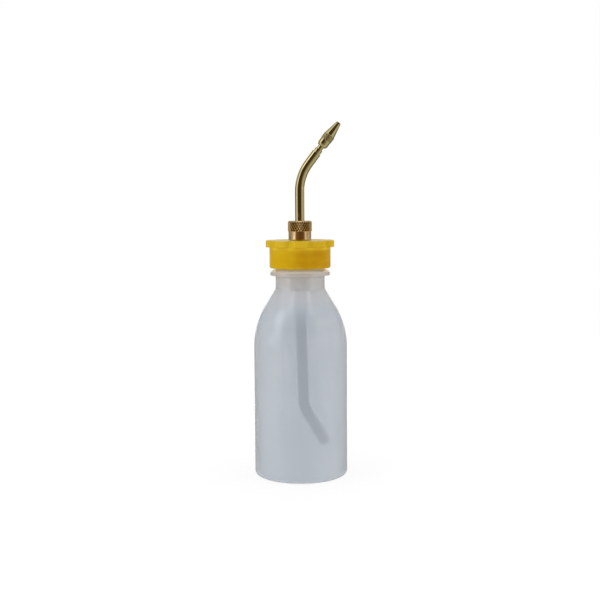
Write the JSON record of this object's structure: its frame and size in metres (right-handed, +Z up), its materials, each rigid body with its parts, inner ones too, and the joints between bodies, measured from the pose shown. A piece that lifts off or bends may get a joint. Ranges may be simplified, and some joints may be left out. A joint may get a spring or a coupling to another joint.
{
  "type": "oil can",
  "caption": "Small squeeze oil can: translucent plastic bottle, lobed screw cap, knurled brass nut, bent swivelling brass spout with adjustable nozzle, bent dip tube.",
  "frame": {"origin": "centre of the bottle's underside, on the bottle's axis", "axes": "+Z up along the bottle's axis; the spout and the dip tube bend towards +X; -Y is the front that the picture shows"},
  "size_m": [0.048, 0.048, 0.1815],
  "materials": {
    "bottle_plastic": "milky translucent polyethylene with a soft sheen",
    "cap_plastic": "yellow moulded plastic with a soft sheen",
    "disc_foam": "pale closed-cell foam",
    "turned_brass": "turned brass, faint tool lines",
    "polished_brass": "polished drawn brass",
    "dip_tubing": "natural plastic tubing",
    "seal_rubber": "matt black rubber"
  },
  "bodies": {
    "bottle": {"bottle": "bottle_plastic"},
    "liner": {"sealing_disc": "disc_foam"},
    "head": {"screw_cap": "cap_plastic", "nipple": "turned_brass", "dip_tube": "dip_tubing"},
    "gland": {"gland_seal": "seal_rubber"},
    "nut": {"knurled_nut": "turned_brass"},
    "spout": {"spout_tube": "polished_brass", "nozzle_stem": "polished_brass"},
    "nozzle": {"nozzle_tip": "polished_brass"}
  },
  "joints": [
    {"name": "cap_lift", "type": "slide", "parent": "bottle", "child": "liner", "axis": [0, 0, 1], "range_m": [0, 0.00676]},
    {"name": "cap_turn", "type": "hinge", "parent": "liner", "child": "head", "pos_m": [0, 0, 0.11779], "axis": [0, 0, 1], "range_deg": [0, 810]},
    {"name": "nut_lift", "type": "slide", "parent": "head", "child": "gland", "axis": [0, 0, 1], "range_m": [0, 0.00401]},
    {"name": "nut_turn", "type": "hinge", "parent": "gland", "child": "nut", "pos_m": [0, 0, 0.12169], "axis": [0, 0, 1], "range_deg": [0, 1440]},
    {"name": "spout_swivel", "type": "hinge", "parent": "gland", "child": "spout", "pos_m": [0, 0, 0.12709], "axis": [0, 0, 1], "continuous": true},
    {"name": "nozzle_turn", "type": "hinge", "parent": "spout", "child": "nozzle", "pos_m": [0.0088, 0, 0.1659], "axis": [0.6018, 0, 0.7986], "range_deg": [0, 720]}
  ],
  "couplings": [
    {"joint": "cap_lift", "follows": "cap_turn", "m_per_rad": 0.00047746},
    {"joint": "nut_lift", "follows": "nut_turn", "m_per_rad": 0.00015915}
  ]
}
